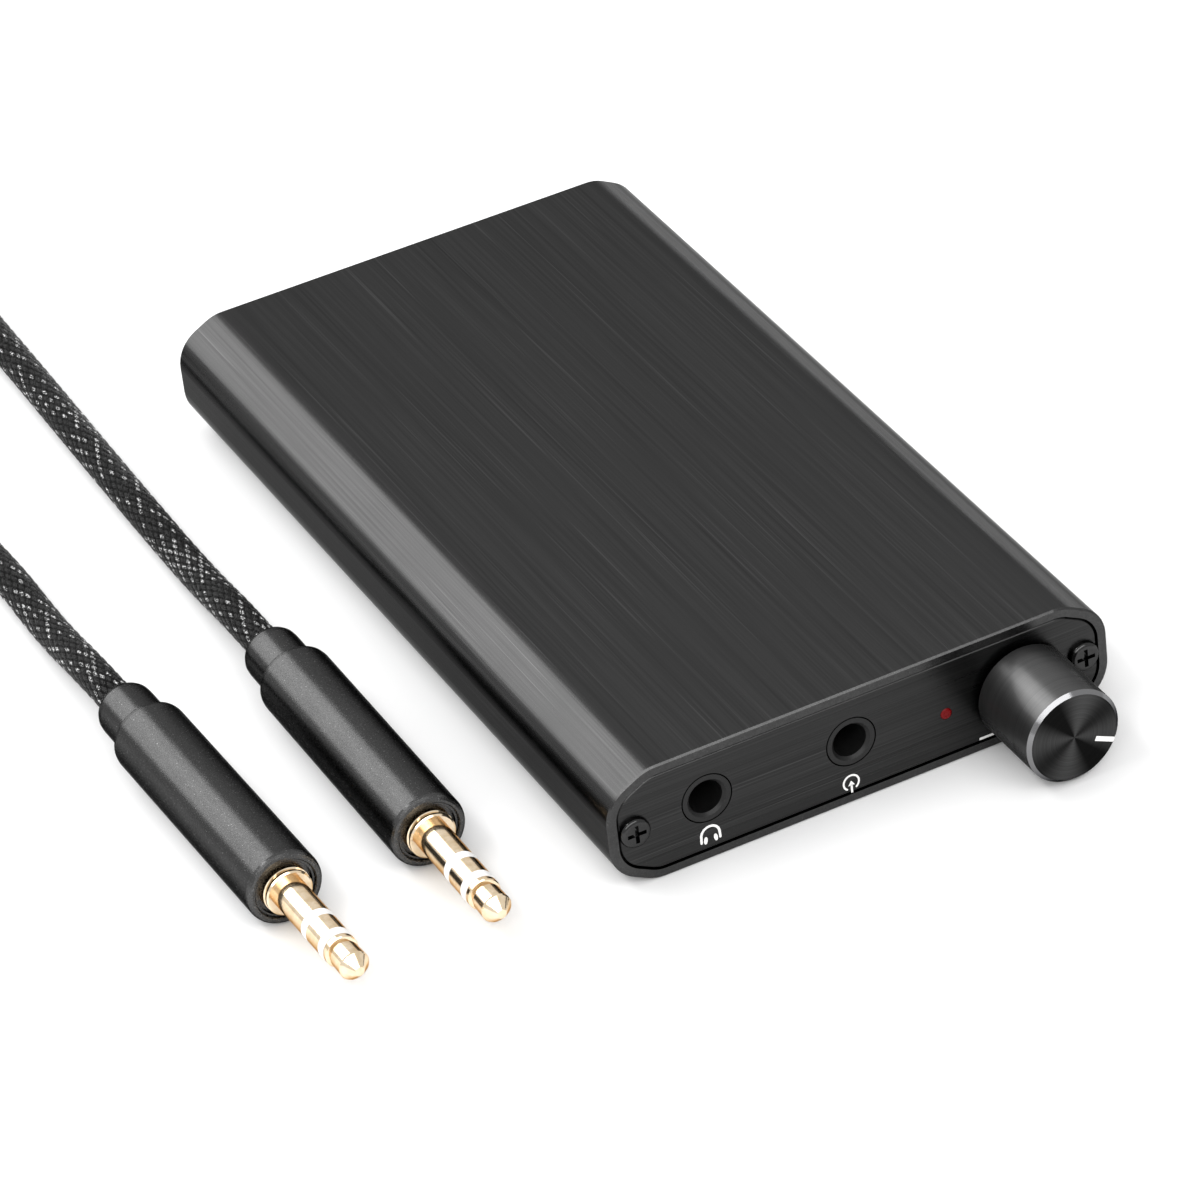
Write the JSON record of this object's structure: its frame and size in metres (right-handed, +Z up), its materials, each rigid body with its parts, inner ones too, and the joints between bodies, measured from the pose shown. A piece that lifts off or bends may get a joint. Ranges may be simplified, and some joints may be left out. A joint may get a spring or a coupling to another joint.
{
  "type": "headphone amplifier",
  "caption": "Flat pocket headphone amplifier in a chamfered brushed aluminium sleeve, with two front jacks, a turned volume knob and a braided patch lead.",
  "frame": {"origin": "middle of the amplifier's own box, without its lead, on the surface it stands on", "axes": "+X to the right seen from the front, +Y from the front panel to the back, +Z up"},
  "size_m": [0.1128, 0.2121, 0.013],
  "materials": {
    "case_aluminium": "black anodised aluminium, brushed lengthwise",
    "panel_aluminium": "black anodised plate, brushed across",
    "black_steel": "blackened steel screw",
    "knob_aluminium": "black anodised turned aluminium with a bright cut bevel",
    "black_plastic": "moulded black plastic",
    "white_plastic": "moulded white plastic",
    "chip_epoxy": "moulded epoxy package",
    "tinned_metal": "tinned metal",
    "spring_bronze": "phosphor bronze strip",
    "zinc_can": "plated zinc and steel",
    "board_laminate": "green solder mask on glass laminate",
    "phenolic": "brown phenolic laminate",
    "capacitor_aluminium": "bare aluminium can",
    "ceramic": "tan ceramic",
    "ferrite": "dark ferrite",
    "led_red": "clear dark red moulding",
    "cell_foil": "laminated foil pouch",
    "foam_tape": "white foam tape",
    "wire_red": "red insulation",
    "wire_black": "black insulation",
    "gold_contact": "gold plated brass",
    "plug_aluminium": "black anodised aluminium, fine blasted",
    "braid": "braided black nylon",
    "strap_fabric": "woven hook and loop strap"
  },
  "bodies": {
    "amplifier": {"amplifier_chip": "chip_epoxy", "battery_cell": "cell_foil", "battery_plug": "white_plastic", "battery_protection_board": "board_laminate", "battery_socket": "white_plastic", "battery_tape": "foam_tape", "battery_wire_black": "wire_black", "battery_wire_red": "wire_red", "capacitor_bases": "black_plastic", "capacitor_cans": "capacitor_aluminium", "case_shell": "case_aluminium", "ceramic_capacitors": "ceramic", "charger_chip": "chip_epoxy", "chip_leads": "tinned_metal", "chip_resistors": "chip_epoxy", "circuit_board": "board_laminate", "driver_chip": "chip_epoxy", "front_panel": "panel_aluminium", "front_screws": "black_steel", "headphone_jack": "black_plastic", "headphone_ring_spring": "spring_bronze", "headphone_sleeve_spring": "spring_bronze", "headphone_tip_spring": "spring_bronze", "input_jack": "black_plastic", "input_ring_spring": "spring_bronze", "input_sleeve_spring": "spring_bronze", "input_tip_spring": "spring_bronze", "lead_coil": "braid", "lead_cord_a": "braid", "lead_cord_b": "braid", "lead_tie": "strap_fabric", "led_light_pipe": "led_red", "plug_a_barrel": "plug_aluminium", "plug_a_collar": "plug_aluminium", "plug_a_insulator": "white_plastic", "plug_a_ring_contact": "gold_contact", "plug_a_sleeve_contact": "gold_contact", "plug_a_tip_contact": "gold_contact", "plug_b_barrel": "plug_aluminium", "plug_b_collar": "plug_aluminium", "plug_b_insulator": "white_plastic", "plug_b_ring_contact": "gold_contact", "plug_b_sleeve_contact": "gold_contact", "plug_b_tip_contact": "gold_contact", "pot_bushing": "zinc_can", "pot_element": "phenolic", "pot_housing": "zinc_can", "pot_terminals": "tinned_metal", "power_inductor": "ferrite", "power_led": "white_plastic", "power_switch": "black_plastic", "rear_panel": "panel_aluminium", "rear_screws": "black_steel", "usb_shell": "tinned_metal", "usb_tongue": "black_plastic"},
    "volume": {"pot_wiper": "white_plastic", "volume_shaft": "zinc_can", "volume_knob": "knob_aluminium", "knob_insert": "black_plastic"}
  },
  "joints": [
    {"name": "volume_turn", "type": "hinge", "parent": "amplifier", "child": "volume", "pos_m": [0.0177, -0.04525, 0.0056], "axis": [0, 1, 0], "range_deg": [-255, 25]}
  ]
}
